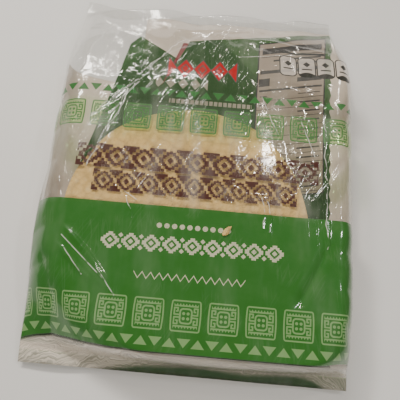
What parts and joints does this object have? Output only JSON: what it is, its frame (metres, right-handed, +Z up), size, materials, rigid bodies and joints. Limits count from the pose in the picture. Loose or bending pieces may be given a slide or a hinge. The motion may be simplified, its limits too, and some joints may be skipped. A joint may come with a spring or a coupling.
{
  "type": "bagged corn tortilla stack",
  "caption": "Round stack of pale corn tortillas sealed in a clear printed plastic bag that lies flat, with green print bands, soft side folds and a sealed far end.",
  "frame": {"origin": "the middle of the flat underside, on the bag's centre line and level with the middle of the stack", "axes": "+X across the bag to the right as its print is read, +Y along the bag from the folded near end to the sealed far end, +Z up out of the shown side"},
  "size_m": [0.198, 0.261, 0.034],
  "materials": {
    "bag_film": "clear glossy film printed in leaf green, brown, white and red, with fine creases",
    "tortilla": "soft matt corn dough, cream coloured, with pale blisters and faint toast spots"
  },
  "bodies": {
    "root": {"bag": "bag_film"}
  },
  "joints": []
}
